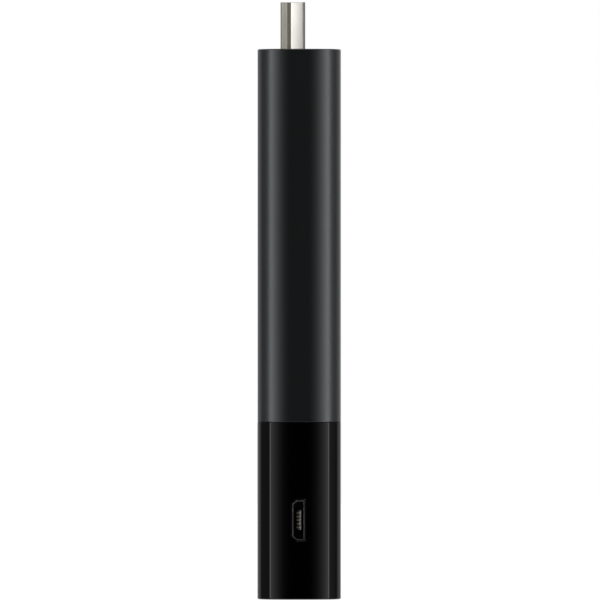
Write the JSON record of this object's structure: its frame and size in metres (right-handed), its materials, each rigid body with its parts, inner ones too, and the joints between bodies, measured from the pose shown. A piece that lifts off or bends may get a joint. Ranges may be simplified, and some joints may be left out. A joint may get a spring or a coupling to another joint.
{
  "type": "streaming media player",
  "caption": "Slim stick-shaped media player with a matt sleeve, gloss end cap, video plug at the end and a small power socket in the narrow side.",
  "frame": {"origin": "centre of the end face of the gloss cap, which the player stands on, midway across the casing", "axes": "+Z along the length, towards the video plug; +X through the thickness, towards the broad face on the plug's wide side; -Y towards the narrow side with the power socket"},
  "size_m": [0.0152, 0.03, 0.1075],
  "materials": {
    "sleeve_matt_plastic": "fine spark-eroded matt texture, charcoal",
    "cap_gloss_plastic": "polished high gloss, black",
    "tray_plastic": "as moulded, dark grey",
    "screw_steel": "zinc plated",
    "plug_shell_nickel": "bright nickel plate on folded sheet",
    "socket_shell_steel": "nickel plate on folded sheet",
    "connector_plastic": "glass-filled black moulding",
    "contact_gold": "gold flash on copper alloy",
    "gasket_foam": "conductive foam, open texture",
    "board_laminate": "green solder mask",
    "chip_resin": "moulded epoxy",
    "crystal_can_metal": "drawn metal lid",
    "inductor_ferrite": "pressed ferrite powder",
    "capacitor_ceramic": "sintered ceramic with tinned ends",
    "resistor_glaze": "black glaze with tinned ends",
    "shield_tinplate": "tin plate",
    "carrier_plastic": "natural liquid crystal polymer",
    "antenna_copper": "bare copper alloy sheet",
    "thermal_pad_rubber": "soft filled silicone",
    "spreader_aluminium": "die cast, as machined"
  },
  "bodies": {
    "casing": {"outer_sleeve": "sleeve_matt_plastic", "end_cap": "cap_gloss_plastic", "inner_tray": "tray_plastic", "board_screws": "screw_steel", "plug_shell": "plug_shell_nickel", "socket_shell": "socket_shell_steel", "plug_insulator": "connector_plastic", "socket_tongue": "connector_plastic", "plug_tails_front": "contact_gold", "plug_tails_rear": "contact_gold", "socket_contacts": "contact_gold", "antenna_feed_springs": "contact_gold", "plug_gasket": "gasket_foam", "circuit_board": "board_laminate", "main_processor": "chip_resin", "memory_chip": "chip_resin", "storage_chip": "chip_resin", "power_chip": "chip_resin", "radio_chip": "chip_resin", "surge_protectors": "chip_resin", "crystals": "crystal_can_metal", "power_inductors": "inductor_ferrite", "ceramic_capacitors": "capacitor_ceramic", "chip_resistors": "resistor_glaze", "front_shield_fence": "shield_tinplate", "front_shield_lid": "shield_tinplate", "rear_shield_fence": "shield_tinplate", "rear_shield_lid": "shield_tinplate", "radio_shield_can": "shield_tinplate", "antenna_carrier": "carrier_plastic", "antenna_left": "antenna_copper", "antenna_right": "antenna_copper", "processor_pad": "thermal_pad_rubber", "front_thermal_pad": "thermal_pad_rubber", "rear_thermal_pad": "thermal_pad_rubber", "front_heat_spreader": "spreader_aluminium", "rear_heat_spreader": "spreader_aluminium"},
    "front_contact_springs": {"plug_springs_front": "contact_gold"},
    "rear_contact_springs": {"plug_springs_rear": "contact_gold"}
  },
  "joints": [
    {"name": "front_springs_flex", "type": "hinge", "parent": "casing", "child": "front_contact_springs", "pos_m": [0, 0, 0.0986], "axis": [0, 1, 0], "range_deg": [0, 3], "stiffness_Nm_per_rad": 1},
    {"name": "rear_springs_flex", "type": "hinge", "parent": "casing", "child": "rear_contact_springs", "pos_m": [-0.0023, 0, 0.0986], "axis": [0, -1, 0], "range_deg": [0, 3], "stiffness_Nm_per_rad": 0.9}
  ]
}
